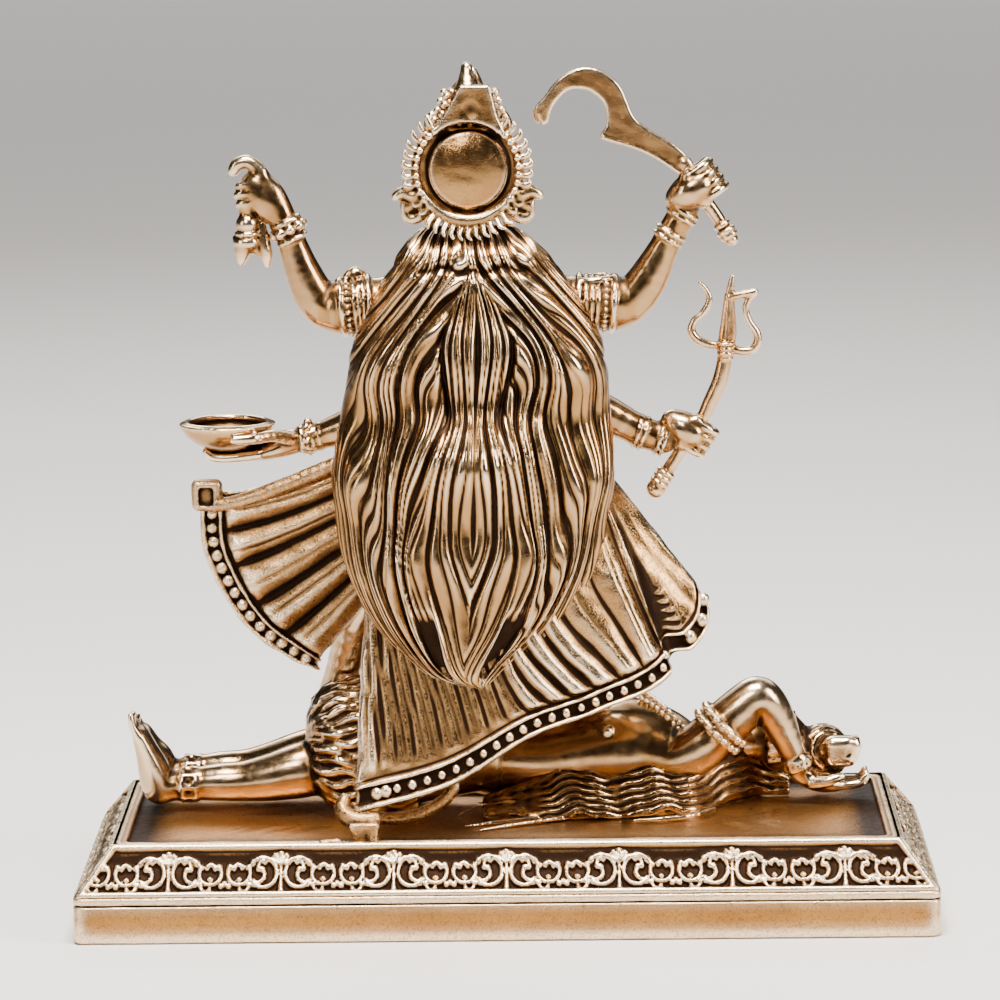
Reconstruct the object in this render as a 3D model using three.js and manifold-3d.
// Small cast brass figure of Kali standing on the reclining Shiva, on a stepped plinth.
// Millimetres, +Z up. The origin is the middle of the plinth's underside, and the figure faces -Y.

import * as THREE from 'three';
import { mergeVertices } from 'three/addons/utils/BufferGeometryUtils.js';
import Module from 'manifold-3d';

const wasm = await Module();
wasm.setup();

// Plinth
const slabLength = 110;
const slabWidth = 48;
const slabHeight = 6;
const slabBandHeight = 1;
const slabBandReach = 0.35;
const slopeInset = 5;
const slopeRise = 5.9;
const rimWidth = 1.1;
const trayDepth = 0.8;
const friezeRelief = 0.45;
const friezeBorder = 0.7;
const friezeRoot = 0.3;
const friezeLine = 0.7;
const friezeReach = 0.44;
const palmetteLeaves = 3;
const longPalmettes = 7;
const shortPalmettes = 3;

// Figures
const figureHeight = 98.3;
const pieceGap = 0.3;
const fingers = 4;

// Vessel, weapons and their fit in the hands
const bowlRadius = 5.5;
const bowlHeight = 3.5;
const bowlWall = 0.7;
const bladeThickness = 1.2;
const swordGripRadius = 0.9;
const tridentShaftRadius = 0.85;
const prongRadius = 0.4;

// Crown ring
const ringInnerRadius = 5.8;
const ringBodyRadius = 6.8;
const ringFlameRadius = 8.4;
const ringThickness = 1.2;
const flameCount = 28;

// The figures are set out in units of which the standing figure, with its crown, is this many high.
const unitsHigh = 98.3;
const unit = figureHeight / unitsHigh;
const deckTop = slabHeight + slopeRise - trayDepth;
const rimTop = slabHeight + slopeRise;

const brass = {
  plinth: { color: 0xb98a52, roughness: 0.42, metalness: 0.9 },
  shiva: { color: 0xa87a48, roughness: 0.34, metalness: 0.95 },
  kali: { color: 0xb48452, roughness: 0.32, metalness: 0.95 },
  weapon: { color: 0xc0925e, roughness: 0.3, metalness: 0.95 },
};

// A place on a figure, in units above the middle of the tray.
function at(x, y, z) {
  return new THREE.Vector3(x, y, z).multiplyScalar(unit).add(new THREE.Vector3(0, 0, deckTop));
}

function signedVolume(points, faces) {
  const cross = new THREE.Vector3();
  return faces.reduce((sum, [a, b, c]) => sum + points[a].dot(cross.crossVectors(points[b], points[c])), 0);
}

function closedGeometry(points, faces) {
  const outward = signedVolume(points, faces) > 0;
  const index = faces.flatMap(([a, b, c]) => (outward ? [a, b, c] : [a, c, b]));
  const geometry = new THREE.BufferGeometry().setFromPoints(points);
  geometry.setIndex(index);
  return geometry;
}

function solid(geometry) {
  const bare = geometry.clone();
  bare.deleteAttribute('normal');
  bare.deleteAttribute('uv');
  const merged = mergeVertices(bare, 1e-5);
  return new wasm.Manifold(new wasm.Mesh({
    numProp: 3,
    vertProperties: new Float32Array(merged.attributes.position.array),
    triVerts: new Uint32Array(merged.index.array),
  }));
}

function joined(solids) {
  return solids.reduce((whole, next) => whole.add(next));
}

function meshOf(name, body, look) {
  const { vertProperties, triVerts } = body.getMesh();
  const geometry = new THREE.BufferGeometry();
  geometry.setAttribute('position', new THREE.BufferAttribute(new Float32Array(vertProperties), 3));
  geometry.setIndex(new THREE.BufferAttribute(new Uint32Array(triVerts), 1));
  geometry.computeVertexNormals();
  const mesh = new THREE.Mesh(geometry, new THREE.MeshStandardMaterial(look));
  mesh.name = name;
  return mesh;
}

// The two faces that close a row of loops. Each is cut into triangles on the plane across the row.
function capFaces(loop, first, direction, flip) {
  const toPlane = new THREE.Quaternion().setFromUnitVectors(direction, new THREE.Vector3(0, 0, 1));
  const flat = loop.map((point) => {
    const turned = point.clone().applyQuaternion(toPlane);
    return new THREE.Vector2(turned.x, turned.y);
  });
  const faces = THREE.ShapeUtils.triangulateShape(flat, []);
  const follows = faces.some((face) => face.some((a, k) => a === 0 && face[(k + 1) % 3] === 1));
  const kept = follows === flip;
  return faces.map(([a, b, c]) => (kept ? [a, b, c] : [a, c, b]).map((corner) => first + corner));
}

// A closed solid through loops of points, each with as many points as the next.
function skin(loops) {
  const count = loops[0].length;
  const points = loops.flat();
  const middle = (loop) => loop.reduce((sum, p) => sum.add(p), new THREE.Vector3()).divideScalar(count);
  const centres = loops.map(middle);
  const faces = [];
  for (let k = 0; k + 1 < loops.length; k += 1) {
    for (let i = 0; i < count; i += 1) {
      const a = k * count + i;
      const b = k * count + ((i + 1) % count);
      faces.push([a, b, b + count], [a, b + count, a + count]);
    }
  }
  const start = centres[1].clone().sub(centres[0]).normalize();
  const end = centres.at(-1).clone().sub(centres.at(-2)).normalize();
  faces.push(...capFaces(loops[0], 0, start, false));
  faces.push(...capFaces(loops.at(-1), points.length - count, end, true));
  return solid(closedGeometry(points, faces));
}

// A round or oval limb along a smooth curve. Each station is x, y, z, half width and, where it is not
// round, its thickness towards "face" as a share of its width.
function limb(stations, { sides = 6, face = [0, 1, 0], grow = 0 } = {}) {
  const curve = new THREE.CatmullRomCurve3(stations.map(([x, y, z]) => at(x, y, z)), false, 'centripetal');
  const facing = new THREE.Vector3(...face);
  return skin(stations.map(([, , , radius, flat = 1], k) => {
    const t = k / (stations.length - 1);
    const width = radius * unit + grow;
    const depth = radius * flat * unit + grow;
    const centre = curve.getPoint(t);
    const tangent = curve.getTangent(t);
    const across = new THREE.Vector3().crossVectors(facing, tangent).normalize();
    const towards = new THREE.Vector3().crossVectors(tangent, across);
    return Array.from({ length: sides }, (_, i) => {
      const angle = (i / sides) * 2 * Math.PI;
      return centre.clone()
        .addScaledVector(across, Math.cos(angle) * width)
        .addScaledVector(towards, Math.sin(angle) * depth);
    });
  }));
}

function ball(x, y, z, rx, ry = rx, rz = rx, { wide = 8, high = 5, grow = 0 } = {}) {
  const geometry = new THREE.SphereGeometry(1, wide, high);
  geometry.rotateX(Math.PI / 2);
  geometry.scale(rx * unit + grow, ry * unit + grow, rz * unit + grow);
  geometry.translate(...at(x, y, z));
  return solid(geometry);
}

// A collar round an upright form, tipped to lie across an axis.
function collar(x, y, z, axis, radius, tube, sides) {
  const geometry = new THREE.TorusGeometry(radius * unit, tube * unit, 4, sides);
  const turn = new THREE.Quaternion().setFromUnitVectors(
    new THREE.Vector3(0, 0, 1),
    new THREE.Vector3(...axis).normalize(),
  );
  geometry.applyQuaternion(turn);
  geometry.translate(...at(x, y, z));
  return solid(geometry);
}

// A turned form from radius and height pairs, standing at a place.
function turned(x, y, z, profile, sides = 12) {
  const geometry = new THREE.LatheGeometry(profile.map(([r, h]) => new THREE.Vector2(r, h)), sides);
  geometry.rotateX(Math.PI / 2);
  geometry.translate(...at(x, y, z));
  return solid(geometry);
}

// A flat form cut from an outline in X and Z, centred on a depth.
function cutOut(shape, y, thickness, curveSegments = 6) {
  const geometry = new THREE.ExtrudeGeometry(shape, { depth: thickness, bevelEnabled: false, curveSegments });
  geometry.translate(0, 0, -thickness / 2);
  geometry.rotateX(Math.PI / 2);
  geometry.translate(0, y * unit, 0);
  return solid(geometry);
}

function smooth(points) {
  return new THREE.SplineCurve(points.map(([x, z]) => {
    const place = at(x, 0, z);
    return new THREE.Vector2(place.x, place.z);
  }));
}

// Plinth. A loop of the stack is the slab's rectangle, drawn in by an inset, at a height.
function rectangle(inset, height) {
  const x = slabLength / 2 - inset;
  const y = slabWidth / 2 - inset;
  return [[-x, -y], [x, -y], [x, y], [-x, y]].map(([px, py]) => new THREE.Vector3(px, py, height));
}

// One repeat of the frieze: a fan of pointed leaves over a foot, with a scroll arm curling up on each
// side. Its reach is half its length along the band.
function anthemion(bandHeight, reach) {
  const foot = 0.25 * bandHeight;
  const leafLength = 0.7 * bandHeight;
  const spread = 0.8 * Math.PI;
  const leaf = (k, length) => {
    const angle = Math.PI / 2 + spread * ((k + 0.5) / palmetteLeaves - 0.5);
    return [Math.cos(angle) * length, foot + Math.sin(angle) * length];
  };
  const fan = Array.from({ length: 2 * palmetteLeaves - 1 }, (_, i) => (
    leaf(i / 2, leafLength * (i % 2 ? 0.6 : 1))
  ));
  const arm = (side) => [
    [0.1, 0.34], [0.36, 0.12 + friezeLine / bandHeight], [0.8, 0.4], [0.66, 0.74], [1, 0.42], [0.5, 0.1],
  ].map(([x, y]) => [side * x * reach, y * bandHeight]);
  const outline = [...arm(1).reverse(), ...fan, ...arm(-1), [0, 0.08 * bandHeight]];
  return new THREE.Shape(outline.map(([x, y]) => new THREE.Vector2(x, y)));
}

// Relief of one side of the slope. "turn" is the side's direction round the plinth.
function friezeSide(length, width, turn, count) {
  const slope = new THREE.Vector3(0, slopeInset, slopeRise).normalize();
  const across = new THREE.Vector3(1, 0, 0);
  const out = new THREE.Vector3().crossVectors(across, slope);
  const bandHeight = Math.hypot(slopeInset, slopeRise) - 2 * friezeBorder;
  const place = new THREE.Matrix4().makeBasis(across, slope, out);
  place.setPosition(new THREE.Vector3(0, -width / 2, slabHeight)
    .addScaledVector(slope, friezeBorder).addScaledVector(out, -friezeRoot));
  place.premultiply(new THREE.Matrix4().makeRotationZ(turn));
  const pitch = (length - 2 * slopeInset) / count;
  const repeat = anthemion(bandHeight, friezeReach * pitch);
  const depth = friezeRoot + friezeRelief;
  return Array.from({ length: count }, (_, k) => {
    const geometry = new THREE.ExtrudeGeometry(repeat, { depth, bevelEnabled: false });
    geometry.translate((k - (count - 1) / 2) * pitch, 0, 0);
    geometry.applyMatrix4(place);
    return solid(geometry);
  });
}

function plinthBody() {
  const bandFoot = slabHeight - slabBandHeight;
  const stack = skin([
    rectangle(0, 0),
    rectangle(0, bandFoot),
    rectangle(slabBandReach, bandFoot),
    rectangle(slabBandReach, slabHeight),
    rectangle(slopeInset, rimTop),
  ]);
  const trayInset = slopeInset + rimWidth;
  const hollow = skin([rectangle(trayInset, deckTop), rectangle(trayInset, rimTop + trayDepth)]);
  const sides = [
    ...friezeSide(slabLength, slabWidth, 0, longPalmettes),
    ...friezeSide(slabLength, slabWidth, Math.PI, longPalmettes),
    ...friezeSide(slabWidth, slabLength, Math.PI / 2, shortPalmettes),
    ...friezeSide(slabWidth, slabLength, -Math.PI / 2, shortPalmettes),
  ];
  return joined([stack.subtract(hollow), ...sides]);
}

// Reclining figure. "grow" makes every form larger, for the clearance of what stands on it.
function reclining(grow) {
  const wrapRidges = 7;
  const wrapStations = Array.from({ length: wrapRidges * 2 + 1 }, (_, k) => {
    const run = k / (wrapRidges * 2);
    const swell = 5.6 + 3.4 * Math.sin(Math.PI * (0.08 + 0.6 * run)) - (k % 2 ? 0 : 0.6) - 3.2 * run ** 8;
    return [2 + 23.6 * run, -6.4 + 0.9 * run, 7.6 + 1.2 * run, swell, 0.84];
  });
  const trunk = limb([
    [4, -6.6, 6.4, 5, 1.1], [-5, -7, 6, 5.4, 1.1], [-11, -7.2, 6.6, 6.3, 1.05], [-17, -7.4, 6.8, 6.7],
    [-22, -7.9, 6.4, 4.6], [-26, -9, 6.8, 2.4], [-33, -10.8, 6.8, 2.4],
  ], { sides: 8, grow });
  const crown = [
    ball(-35.6, -11.4, 6.6, 4.6, 3.9, 4.3, { grow }),
    ball(-41, -11.6, 5, 4.6, 4.4, 4.2, { grow }),
    ball(-45.3, -9.4, 6, 2.3, 2.2, 2, { wide: 6, high: 4, grow }),
  ];
  const legs = [-2.6, -10].map((y) => limb([
    [20, y, 6.4, 4], [27, y, 5.6, 4], [34, y, 4.1, 2.6], [40.4, y, 3.8, 1.9], [40.5, y, 3.8, 2.4],
    [42.6, y, 3.7, 2.4], [42.7, y, 3.7, 1.8], [45, y, 3.4, 1.9], [46.2, y, 5.4, 1.9], [47.6, y, 9, 1.4, 1.5],
    [49, y, 13.4, 0.7, 2.6],
  ], { grow }));
  const nearArm = limb([
    [-20.6, -3.6, 5.6, 3, 0.9], [-24.6, -3.4, 7.2, 3.4, 0.9], [-27.4, -3.6, 9.6, 3.2, 0.9],
    [-27.5, -3.6, 9.7, 3.8, 0.9], [-29, -3.6, 11.2, 3.8, 0.9], [-29.1, -3.7, 11.3, 3, 0.9],
    [-31.6, -4, 13.8, 2.8], [-33, -4.2, 14.4, 2.7], [-34.6, -4.4, 12.6, 2.7], [-37.2, -4.8, 7.4, 1.8],
    [-38.2, -5.2, 4.6, 1.6],
  ], { grow });
  const nearHand = limb([
    [-37.4, -5, 4, 1.4], [-41, -6.2, 2.3, 2.2, 0.5], [-45, -7.6, 2.8, 2, 0.4], [-47.3, -8.6, 4.8, 1, 0.6],
  ], { sides: 5, face: [0, 0, 1], grow });
  const farArm = limb([
    [-20, -11.6, 7, 3], [-14, -13.6, 4.6, 2.5], [-7, -14.4, 2.6, 1.9], [0, -13.8, 2, 1.5, 0.8],
    [4.5, -13.6, 1.4, 1.8, 0.6], [8, -13.4, 1.1, 1.2, 0.7],
  ], { sides: 5, face: [0, 0, 1], grow });
  const wrap = limb(wrapStations, { sides: 8, grow });
  return joined([wrap, trunk, ...crown, ...legs, nearArm, nearHand, farArm]);
}

// Hair spread on the tray: a low mat of waved locks that ends in points.
function floorHair() {
  const locks = 5;
  const stations = 7;
  return Array.from({ length: locks }, (_, k) => {
    const share = k / (locks - 1);
    const length = 40 - 8 * Math.abs(share - 0.45);
    const path = Array.from({ length: stations }, (__, i) => {
      const run = i / (stations - 1);
      const swell = Math.sin(Math.PI * Math.min(run * 1.15, 1)) * 0.7 + 0.3;
      return [
        -37 + length * run,
        -1.2 + 11 * share * (1 - 0.35 * run) + 0.8 * Math.sin(run * 9 + k),
        1.2 + (5.2 - 4.2 * share) * (1 - run * run) + 0.35 * Math.sin(run * 12 + 2 * k),
        (1 - 0.5 * run) * 1.9 * swell,
      ];
    });
    return limb(path, { sides: 4 });
  });
}

function shivaBody() {
  const slab = skin([rectangle(-slabWidth, -slabWidth), rectangle(-slabWidth, deckTop + pieceGap)]);
  const necklace = limb([
    [-18.4, -7.4, 13.6, 0.8], [-20.2, -4, 12.6, 0.8], [-22.6, -2.6, 10.6, 0.8], [-24, -3.2, 8.6, 0.8],
  ], { sides: 4 });
  const nose = limb([
    [-38.4, -12.6, 10, 0.5], [-36.6, -12.8, 11.3, 0.8], [-35.4, -12.8, 10.8, 0.8],
  ], { sides: 4 });
  return joined([reclining(0), ...floorHair(), necklace, nose]).subtract(slab);
}

// Standing figure. The peg under the skirt's corner: its middle, top and half widths in units.
const pegX = 18.4;
const pegY = 16.8;
const pegTop = 3.2;
const pegHalf = 1.5;
const pegFlare = 0.4;

// Hair: its outline from the top of the back to the point, left and right.
const hairTop = 77.2;
const hairTip = 19.4;
const hairLeft = [
  [10.6, 0], [15.4, 0.12], [18.7, 0.25], [20.8, 0.41], [21.6, 0.6], [20.4, 0.73], [17.3, 0.86], [12.2, 0.95],
  [4.2, 1],
];
const hairRight = [
  [-2.6, 0], [-8.8, 0.12], [-12.6, 0.25], [-13.9, 0.41], [-13.9, 0.6], [-12.3, 0.73], [-8.4, 0.86],
  [-1.9, 0.95], [2.2, 1],
];

function tableAt(table, share) {
  const k = Math.max(table.findIndex(([, s]) => s >= share), 1);
  const [a, s0] = table[k - 1];
  const [b, s1] = table[k];
  return THREE.MathUtils.lerp(a, b, (share - s0) / (s1 - s0));
}

function hairBody() {
  const strands = 9;
  const around = strands * 3;
  const rows = 9;
  const depths = [[9, 0], [10.5, 0.2], [12, 0.5], [13.4, 0.8], [14.2, 0.95], [14, 1]];
  const loops = Array.from({ length: rows + 1 }, (_, j) => {
    const share = j / rows;
    const left = tableAt(hairLeft, share);
    const right = tableAt(hairRight, share);
    const centre = (left + right) / 2;
    const half = (left - right) / 2;
    const z = THREE.MathUtils.lerp(hairTop, hairTip, share);
    const edge = THREE.MathUtils.lerp(2.2, 10.5, share * share);
    const depth = tableAt(depths, share) - edge;
    const fade = Math.min(1, 12 * share) * Math.min(1, 8 * (1 - share) + 0.15);
    const outer = Array.from({ length: around + 1 }, (__, i) => {
      const angle = (i / around) * Math.PI;
      const wave = 0.45 * Math.sin(share * 17 + 2.5 * Math.abs(Math.cos(angle)));
      const groove = 0.5 * fade * Math.cos((i / around) * strands * 2 * Math.PI + wave * 1.2);
      return at(
        centre + (half + groove) * Math.cos(angle),
        edge + (depth + groove) * Math.sin(angle),
        z,
      );
    });
    const inner = [-0.6, -0.2, 0.2, 0.6].map((s) => at(centre + half * s, edge - 1 + share, z));
    return [...outer, ...inner];
  });
  return skin(loops);
}

// A pleated cloth between an upper and a lower edge, each a smooth curve through its points.
function cloth(top, hem, { pleats, depth, thickness, border }) {
  const upper = new THREE.CatmullRomCurve3(top.map((p) => at(...p)));
  const lower = new THREE.CatmullRomCurve3(hem.map((p) => at(...p)));
  const out = new THREE.Vector3(0, unit, 0);
  const count = pleats * 2;
  const line = (v, fold, shift) => Array.from({ length: count + 1 }, (_, i) => {
    const u = i / count;
    return upper.getPoint(u).lerp(lower.getPoint(u), v)
      .addScaledVector(out, fold * Math.cos(u * pleats * 2 * Math.PI) + shift);
  });
  const loop = (v, fold, rise) => [...line(v, fold, rise), ...line(v, fold, -thickness).reverse()];
  const hemFold = 0.35 * depth;
  const hemRise = 0.6;
  const ledge = border + 0.005;
  return skin([
    loop(0, 0, 0), loop(border, depth, 0), loop(ledge, hemFold, hemRise), loop(1, hemFold, hemRise),
  ]);
}

function skirts() {
  const top = [[16.5, 5, 47], [12, 8, 47], [4, 10, 46], [-5, 9, 46], [-11, 6, 45.5], [-13.5, 2, 45]];
  const hem = [
    [19.4, 15.6, 3.8], [7.1, 15.4, 7.2], [-3.2, 13.6, 13], [-12, 12, 16], [-20.8, 8, 19.8],
    [-26.4, 3.6, 28.4],
  ];
  const flareTop = [[8, 1.4, 46.6], [8.6, 1, 43.6], [9.6, 0.6, 40.4], [10.6, 0.4, 37.6]];
  const flareHem = [[40, 0.5, 44.4], [38.6, 0.3, 34], [33.2, 0.1, 24.8], [25.4, 0, 20]];
  return [
    cloth(top, hem, { pleats: 10, depth: 0.55, thickness: 1.3, border: 0.9 }),
    cloth(flareTop, flareHem, { pleats: 5, depth: 0.9, thickness: 1.2, border: 0.9 }),
    limb([[19.6, 15.2, 1.6, 1.4], [19.6, 15.2, 2.6, 2.1], [19.4, 15.4, 4.6, 2.1], [19.3, 15.4, 5.8, 1.4]]),
  ];
}

// The peg under the skirt's corner, which stands on the plinth's rim.
function skirtPeg() {
  const foot = rimTop + pieceGap;
  const head = deckTop + pegTop * unit;
  return skin([[foot, pegHalf], [head, pegHalf + pegFlare]].map(([z, half]) => (
    [[-1, -1], [1, -1], [1, 1], [-1, 1]].map(([x, y]) => (
      new THREE.Vector3((pegX + x * half) * unit, (pegY + y * half) * unit, z)
    ))
  )));
}

function torso() {
  return [
    limb([
      [4, -0.6, 79, 2.4], [4, -0.5, 74, 2.4], [4, -0.4, 71.8, 4.4, 0.85], [4, -0.6, 68.6, 8, 0.72],
      [4, -1, 63.5, 6.9, 0.78], [3.8, -1, 57.5, 5.2, 0.8], [3.5, -0.8, 52.5, 4.9, 0.82],
      [3.4, -0.6, 48.2, 6.2, 0.8], [3.4, -0.6, 48.1, 7.2, 0.84], [3.3, -0.6, 46.2, 7.4, 0.84],
      [3.2, -0.3, 46.1, 6.6, 0.8], [3, 0, 42, 7, 0.8],
    ], { sides: 10 }),
    ball(7.5, -5.3, 63.4, 2.9, 2.6, 2.9, { high: 4 }),
    ball(0.5, -5.3, 63.4, 2.9, 2.6, 2.9, { high: 4 }),
    collar(4, -1.8, 69.4, [0, 0.55, 1], 5.1, 0.9, 12),
  ];
}

function shortSkirt() {
  const pleats = 12;
  const rows = [[47.6, 5], [42, 8.4], [36.4, 9.6]];
  return skin(rows.map(([z, r], j) => Array.from({ length: pleats * 2 }, (_, i) => {
    const angle = (i / (pleats * 2)) * 2 * Math.PI;
    const radius = r + 0.35 * j * Math.cos(angle * pleats);
    return at(3.1 + radius * Math.cos(angle), -0.2 + 0.82 * radius * Math.sin(angle), z);
  })));
}

function legs() {
  const ahead = { face: [1, 0, 0] };
  return [
    limb([
      [7.2, -0.4, 38, 4.4], [12.6, -3, 35.4, 3.6], [16.2, -4, 31, 2.7], [19.8, -5.4, 25.2, 2.1],
      [23.4, -8.4, 17, 1.8], [23.5, -8.5, 16.8, 2.4], [24, -9, 15.5, 2.4], [24.1, -9, 15.4, 1.7],
      [25.2, -10.4, 12.6, 1.7], [25.8, -13, 11.2, 1.2, 1.5], [25.8, -17.4, 10.5, 0.7, 2.4],
    ], ahead),
    limb([
      [-1, -0.4, 38, 4.4], [-3.6, -4.4, 34, 3.7], [-5.6, -6, 28.4, 3], [-8.6, -6, 22, 2.5],
      [-10.7, -6.1, 18.6, 1.7], [-10.8, -6.1, 18.5, 2.4], [-11, -6.2, 17.4, 2.4], [-11.1, -6.2, 17.3, 1.7],
      [-11.8, -6.8, 15.8, 1.7], [-12.4, -9.6, 14.8, 1.2, 1.5], [-13.2, -14.2, 14, 0.7, 2.4],
    ], ahead),
  ];
}

// Four arms. Each upper arm leaves the shoulder, and the elbow bends inside the armlet's sleeve.
function arms() {
  return [
    limb([
      [11, -0.6, 68.6, 3.4], [17.7, 0, 66.9, 3.2], [17.8, 0, 66.9, 4.1], [20.6, 0, 66.6, 4.1],
      [20.7, 0, 66.6, 2.8],
      [23.2, 0.2, 67.4, 2.6], [25, 0.5, 70.6, 2.3], [26.7, 0.8, 75.3, 1.6], [26.8, 0.8, 75.5, 2.3],
      [27.3, 0.9, 76.9, 2.3], [27.4, 0.9, 77, 1.5], [28.6, 1, 79.6, 2.1, 0.75], [30.2, 1, 82.4, 2.4, 0.7],
      [31.6, 1, 84, 1.3, 0.8], [32.8, 1, 85.4, 0.9, 1],
    ]),
    limb([
      [-3, -0.6, 68.6, 3.4], [-10.5, 0, 67, 3.2], [-10.6, 0, 67, 4.1], [-13.6, 0, 66.8, 4.1],
      [-13.7, 0, 66.8, 2.8],
      [-16, 0.2, 67, 2.6], [-18.4, 0.5, 69.8, 2.3], [-21.4, 0.8, 74.8, 1.7], [-21.5, 0.8, 75, 2.4],
      [-22.4, 0.9, 76.4, 2.4], [-22.5, 0.9, 76.5, 1.6], [-24, 1, 79.8, 1.8],
    ]),
    limb([
      [10.5, -0.6, 66.4, 3], [13.6, 0.4, 57, 2.8], [15.6, 0.2, 53, 2.8], [19.4, -0.4, 51.4, 2.5],
      [24, -0.9, 49.9, 1.6], [24.1, -0.9, 49.9, 2.3], [25.7, -1, 49.6, 2.3], [25.8, -1, 49.6, 1.5],
      [29.6, -1, 48.6, 1.2, 1.9], [33.6, -1, 47.7, 0.9, 2.5], [37.4, -1, 47.4, 0.7, 2.2],
    ]),
    limb([
      [-2.5, -0.6, 66.4, 3], [-6, 0.4, 58, 2.8], [-8.6, 0.2, 54.6, 2.8], [-12.4, -0.4, 53, 2.5],
      [-17.8, -0.9, 50.5, 1.7], [-17.9, -0.9, 50.4, 2.4], [-19.5, -1, 49.9, 2.4], [-19.6, -1, 49.9, 1.6],
      [-22.6, -1, 49.8, 1.8],
    ]),
  ];
}

// A fist round a grip. "grip" is the grip's direction, and the fingers lie across it.
function fist(x, y, z, grip, reach, size) {
  const rod = new THREE.Vector3(...grip).normalize();
  const hand = new THREE.Vector3(...reach).normalize();
  const out = new THREE.Vector3().crossVectors(rod, hand).normalize();
  const spot = (a, b, c, r) => {
    const p = new THREE.Vector3(x, y, z).addScaledVector(rod, a * size)
      .addScaledVector(hand, b * size).addScaledVector(out, c * size);
    return [p.x, p.y, p.z, r * size];
  };
  const joints = fingers * 2 + 1;
  const knuckles = Array.from({ length: joints }, (_, k) => (
    spot(1.9 * (k / (joints - 1) - 0.5), 0.1, 0, k % 2 ? 1.15 : 0.85)
  ));
  const thumb = limb([spot(0.9, -0.6, -0.5, 0.4), spot(0.4, 0.2, -1, 0.34), spot(-0.2, 0.8, -0.8, 0.3)], {
    sides: 4, face: grip,
  });
  return [limb(knuckles, { sides: 5, face: reach }), thumb];
}

// The sword's hilt from its collar to its pommel, and the trident's staff from its collar to the ball at
// its foot. Each row is x and z, and a radius where the rod swells.
const swordHiltRows = [
  [-23, 85.8, 1.1], [-24.2, 84.2, 1.4], [-24.9, 83, 1.2], [-25, 82.8], [-27.4, 78.6], [-28.6, 76.7],
  [-28.7, 76.5, 1.3], [-29.5, 75.4, 1.4], [-29.8, 74.7, 0.6],
];
const tridentStaffRows = [
  [-28.8, 61.9, 1.2], [-28.7, 60.4, 1.4], [-28.6, 60.2], [-28, 56.6], [-26.8, 54], [-24.2, 49.6],
  [-21.2, 45], [-21.1, 44.8, 1.4], [-20.4, 43.8, 1.4], [-20.2, 43.5, 0.7], [-19.8, 42.8, 1.4],
  [-19.4, 42, 1.2], [-19.1, 41.5, 0.5],
];

function rodAlong(rows, y, radius, grow) {
  return limb(rows.map(([x, z, swell = radius / unit]) => [x, y, z, swell]), { grow });
}

function swordHilt(grow) {
  return rodAlong(swordHiltRows, 1, swordGripRadius, grow);
}

function tridentStaff(grow) {
  return rodAlong(tridentStaffRows, -1, tridentShaftRadius, grow);
}

function rightHands() {
  return [
    fist(-25.6, 1, 81.2, [-0.55, 0, -0.83], [-0.83, 0, 0.55], 2.1),
    fist(-24.3, -1, 49.6, [-0.52, 0, -0.85], [-0.85, 0, 0.52], 2.1),
  ].map(joined);
}

// The upper left hand: a raised finger, and the hair of the hanging head in its grip.
function leftHands() {
  const finger = { sides: 4 };
  return [
    limb([[32.6, 1, 85.2, 0.9], [33.6, 1, 86, 0.8], [34.2, 0.8, 84.9, 0.7]], finger),
    limb([[30, 1, 81.8, 1.2], [33.2, 0.9, 81.2, 1], [33.6, 0.8, 79.6, 0.9], [32.8, 0.8, 77.4, 0.9]], finger),
    limb([
      [32.3, 1, 79, 1], [32.3, 1, 77.8, 2], [32.3, 1, 75.6, 2.2], [32.5, 0.9, 74.4, 1.6],
      [32.7, 0.8, 73.6, 1.7], [33, 0.8, 72, 0.8],
    ]),
    limb([[31, 1.1, 77.4, 1], [30.2, 1.1, 74, 1.1], [30.6, 1.1, 72.6, 0.6]], finger),
    limb([[28, -1, 50, 0.9], [31, 1.6, 50.9, 0.8], [33.2, 2.6, 50.8, 0.6]], finger),
  ];
}

function bowl() {
  const inner = bowlRadius - bowlWall;
  const profile = [
    [0, 0], [bowlRadius * 0.55, 0.15], [bowlRadius * 0.86, bowlHeight * 0.45], [bowlRadius, bowlHeight],
    [inner, bowlHeight], [inner * 0.84, bowlHeight * 0.45 + bowlWall * 0.7], [inner * 0.5, 0.15 + bowlWall],
    [0, bowlWall],
  ];
  return turned(35.6, -1, 48.3, profile);
}

function head() {
  return [
    ball(4, -0.6, 83.6, 4.6, 5, 6.2, { wide: 10, high: 8 }),
    limb([[4, -5.2, 85.4, 0.5], [4, -6.4, 82.6, 0.75], [4, -5.2, 82.2, 0.8]], { sides: 4 }),
    ball(5.9, -4.7, 84.3, 1.1, 0.9, 0.55, { wide: 6, high: 4 }),
    ball(2.1, -4.7, 84.3, 1.1, 0.9, 0.55, { wide: 6, high: 4 }),
    ball(4, -5, 80.6, 1.3, 0.8, 0.5, { wide: 6, high: 4 }),
    limb([[8.2, -0.4, 81.6, 0.9], [9.4, 0.4, 79, 1.2], [9, 0.8, 76.6, 0.8]], { sides: 5 }),
    limb([[-0.2, -0.4, 81.6, 0.9], [-1.4, 0.4, 79, 1.2], [-1, 0.8, 76.6, 0.8]], { sides: 5 }),
  ];
}

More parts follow.
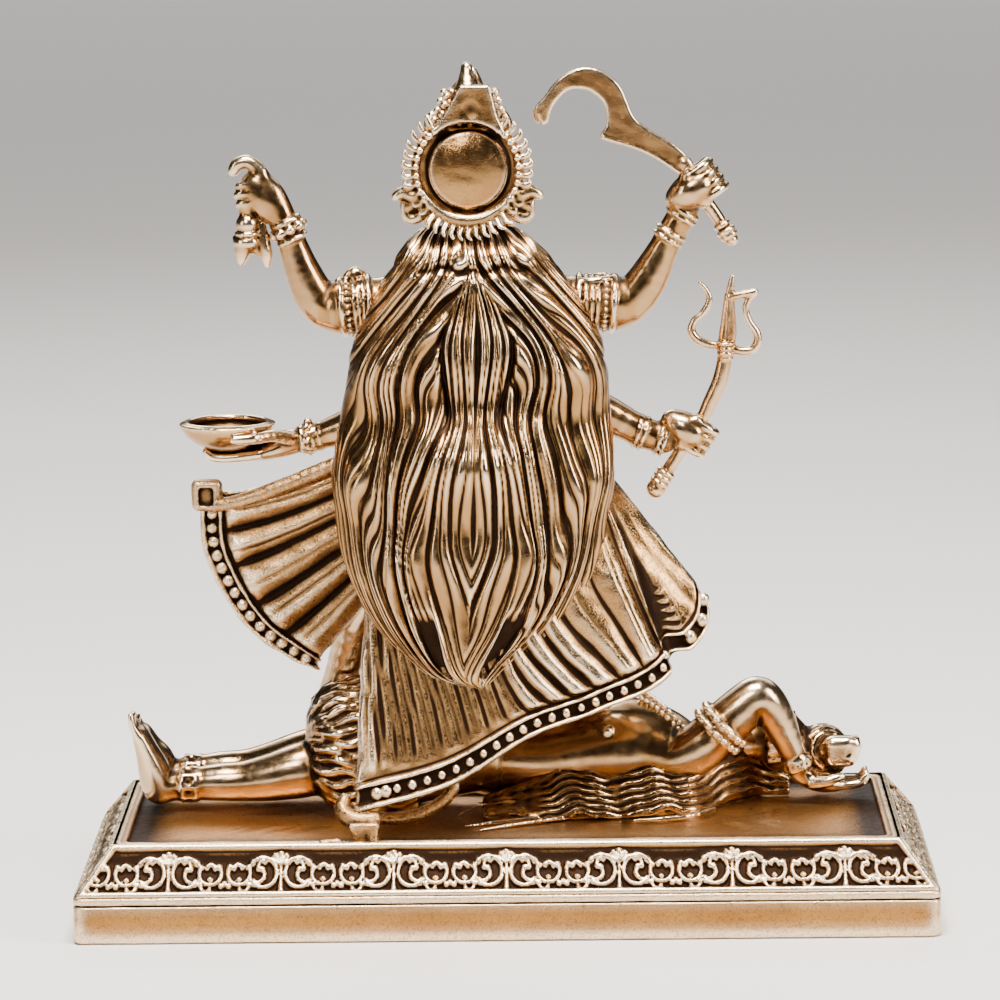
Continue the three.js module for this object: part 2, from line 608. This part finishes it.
function crown() {
  const tiers = [
    [0, 0], [4.9, 0], [5.4, 1], [4.7, 2], [4.6, 4.6], [4, 7], [2.4, 8.4], [1.1, 9], [1.1, 10], [0, 11.6],
  ].map(([r, h]) => [r * unit, h * unit]);
  const middleX = 4.1 * unit;
  const middleZ = deckTop + 84.8 * unit;
  const crest = smooth([[6.8, 91.2], [6.1, 95.2], [3.6, 95.5], [1, 95.2], [0.6, 91.2]]);
  const plate = new THREE.Shape(crest.getPoints(8));
  const ring = new THREE.Shape();
  const spot = (r, k) => {
    const angle = (k / flameCount) * 2 * Math.PI;
    return [middleX + r * Math.cos(angle), middleZ + r * Math.sin(angle)];
  };
  ring.moveTo(...spot(ringBodyRadius, 0));
  for (let k = 0; k < flameCount; k += 1) {
    ring.lineTo(...spot(ringFlameRadius, k + 0.7));
    ring.lineTo(...spot(ringBodyRadius, k + 1));
  }
  const hole = new THREE.Path();
  hole.absarc(middleX, middleZ, ringInnerRadius, 0, 2 * Math.PI, true);
  ring.holes.push(hole);
  const wing = { sides: 5 };
  return [
    turned(4, -0.8, 86.7, tiers, 10),
    cutOut(plate, 4.6, 2.4 * unit),
    cutOut(ring, 5.2, ringThickness, 7),
    limb([[4.1, 2, 84.8, 5], [4.1, 4.8, 84.8, 5.05]], { sides: 16, face: [0, 0, 1] }),
    limb([[4, 2.6, 78, 2.6], [4, 5.6, 77.6, 2.4]], { face: [0, 0, 1] }),
    limb([[8.4, 3.4, 80.6, 1], [11, 4.4, 80.4, 1.6], [13.4, 4.4, 81.4, 0.7]], wing),
    limb([[-0.2, 3.4, 80.6, 1], [-2.8, 4.4, 80.4, 1.6], [-5.2, 4.4, 81.4, 0.7]], wing),
  ];
}

// The garland of small heads, hung from the shoulders over the short skirt.
function garland() {
  const heads = 14;
  const path = new THREE.CatmullRomCurve3([
    [11, -3.8, 69.5], [11.4, -6.4, 58], [9.5, -8.2, 44], [3.5, -9.6, 36.6], [-2.8, -8.2, 44], [-4, -6.4, 58],
    [-3, -3.8, 69.5],
  ].map((p) => new THREE.Vector3(...p)));
  const string = path.getSpacedPoints(heads * 2).map((p, k) => [p.x, p.y, p.z, k % 2 ? 1.5 : 0.6]);
  return limb(string, { sides: 5, face: [0.2, 1, 0.1] });
}

function kaliBody() {
  const whole = joined([
    ...torso(), shortSkirt(), ...legs(), ...arms(), ...rightHands(), ...leftHands(), bowl(), ...head(),
    ...crown(), hairBody(), ...skirts(), garland(),
  ]);
  const neighbours = [reclining(pieceGap), swordHilt(pieceGap), tridentStaff(pieceGap)];
  return neighbours.reduce((rest, neighbour) => rest.subtract(neighbour), whole).add(skirtPeg());
}

function swordBody() {
  const back = smooth([
    [-4.6, 92.5], [-7, 95.4], [-10.5, 97.5], [-14.4, 96.1], [-16.3, 93.1], [-18.3, 90], [-22.1, 87.8],
    [-24.3, 85.8],
  ]);
  const edge = smooth([
    [-22.8, 84.6], [-17.3, 87], [-13, 88.3], [-13.7, 91.4], [-12, 94.1], [-9.5, 94.7], [-7.2, 93], [-6.2, 90.5],
    [-5.2, 90.2],
  ]);
  const outline = new THREE.Shape([...back.getPoints(11), ...edge.getPoints(13)]);
  return joined([cutOut(outline, 1, bladeThickness), swordHilt(0)]);
}

function tridentBody() {
  const prong = (points) => limb(points.map(([x, z]) => [x, -1, z, prongRadius / unit]), { sides: 4 });
  return joined([
    tridentStaff(0),
    prong([[-28.6, 61.2], [-26.1, 61.4], [-24.4, 63], [-25.4, 65], [-26.8, 67], [-25.7, 69.3]]),
    prong([[-28.8, 61.2], [-31, 60.5], [-33, 61], [-32.8, 63.2], [-31.4, 65.6], [-32.6, 68.2]]),
    prong([[-29.2, 67.4], [-32.6, 68.1]]),
    limb([[-28.8, -1, 61.4, 1, 0.6], [-29.2, -1, 65, 0.9, 0.6], [-29.7, -1, 70.4, 0.3]], { sides: 4 }),
  ]);
}

const figure = new THREE.Group();
figure.add(
  meshOf('plinth', plinthBody(), brass.plinth),
  meshOf('reclining_shiva', shivaBody(), brass.shiva),
  meshOf('standing_kali', kaliBody(), brass.kali),
  meshOf('sword', swordBody(), brass.weapon),
  meshOf('trident', tridentBody(), brass.weapon),
);

export default figure;
